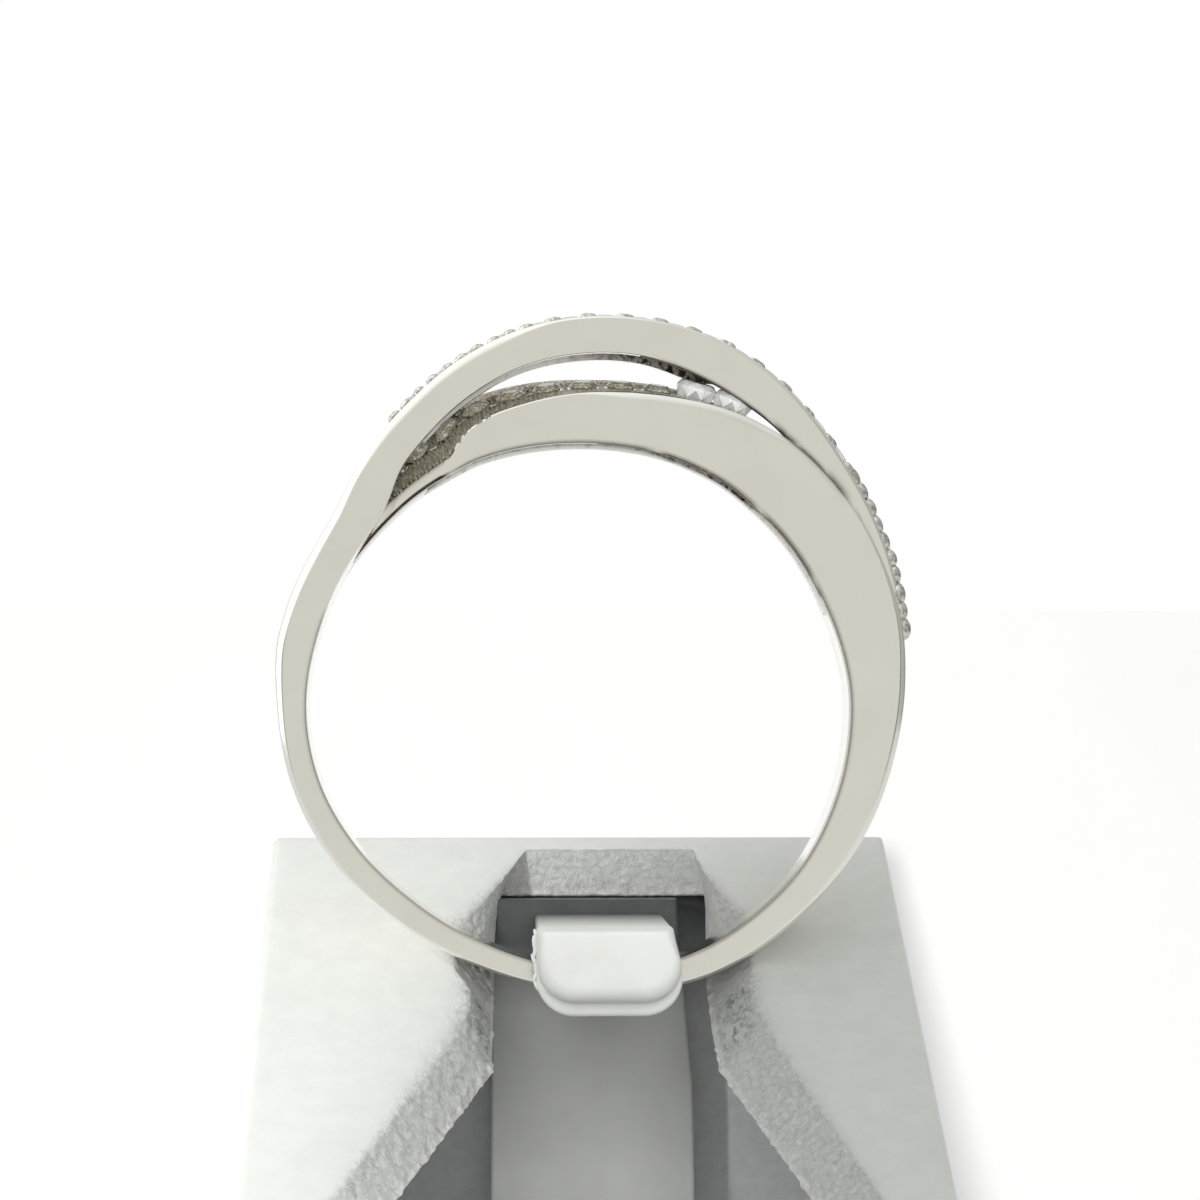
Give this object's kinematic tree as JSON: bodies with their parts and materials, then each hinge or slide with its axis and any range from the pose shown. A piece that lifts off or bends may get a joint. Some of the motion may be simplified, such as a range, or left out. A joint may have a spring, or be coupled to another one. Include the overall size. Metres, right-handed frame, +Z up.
{
  "type": "sapphire ring on clip stand",
  "caption": "Crossover ring of two polished ribbons, each with a row of small clear stones, held upright by a clip in a sloping hollow stand.",
  "frame": {"origin": "middle of the bounding box's footprint, on the plane the stand rests on", "axes": "+Z up, along the ring's height; the finger hole runs along Y, and the stand's low edge is on the -Y side"},
  "size_m": [0.0214, 0.0246, 0.0345],
  "materials": {
    "polished_silver": "polished silver with a warm grey sheen",
    "white_sapphire": "clear, cut and polished",
    "white_leatherette": "white leatherette with a fine grain",
    "white_plastic": "smooth white plastic"
  },
  "bodies": {
    "root": {"clip": "white_plastic", "lower_stone_01": "white_sapphire", "lower_stone_02": "white_sapphire", "lower_stone_03": "white_sapphire", "lower_stone_04": "white_sapphire", "lower_stone_05": "white_sapphire", "lower_stone_06": "white_sapphire", "lower_stone_07": "white_sapphire", "lower_stone_08": "white_sapphire", "lower_stone_09": "white_sapphire", "lower_stone_10": "white_sapphire", "lower_stone_11": "white_sapphire", "lower_stone_12": "white_sapphire", "lower_stone_13": "white_sapphire", "ring_band": "polished_silver", "stand_block": "white_leatherette", "upper_stone_01": "white_sapphire", "upper_stone_02": "white_sapphire", "upper_stone_03": "white_sapphire", "upper_stone_04": "white_sapphire", "upper_stone_05": "white_sapphire", "upper_stone_06": "white_sapphire", "upper_stone_07": "white_sapphire", "upper_stone_08": "white_sapphire", "upper_stone_09": "white_sapphire", "upper_stone_10": "white_sapphire", "upper_stone_11": "white_sapphire", "upper_stone_12": "white_sapphire", "upper_stone_13": "white_sapphire", "upper_stone_14": "white_sapphire", "upper_stone_15": "white_sapphire", "upper_stone_16": "white_sapphire", "upper_stone_17": "white_sapphire", "upper_stone_18": "white_sapphire", "upper_stone_19": "white_sapphire", "upper_stone_20": "white_sapphire"}
  },
  "joints": []
}
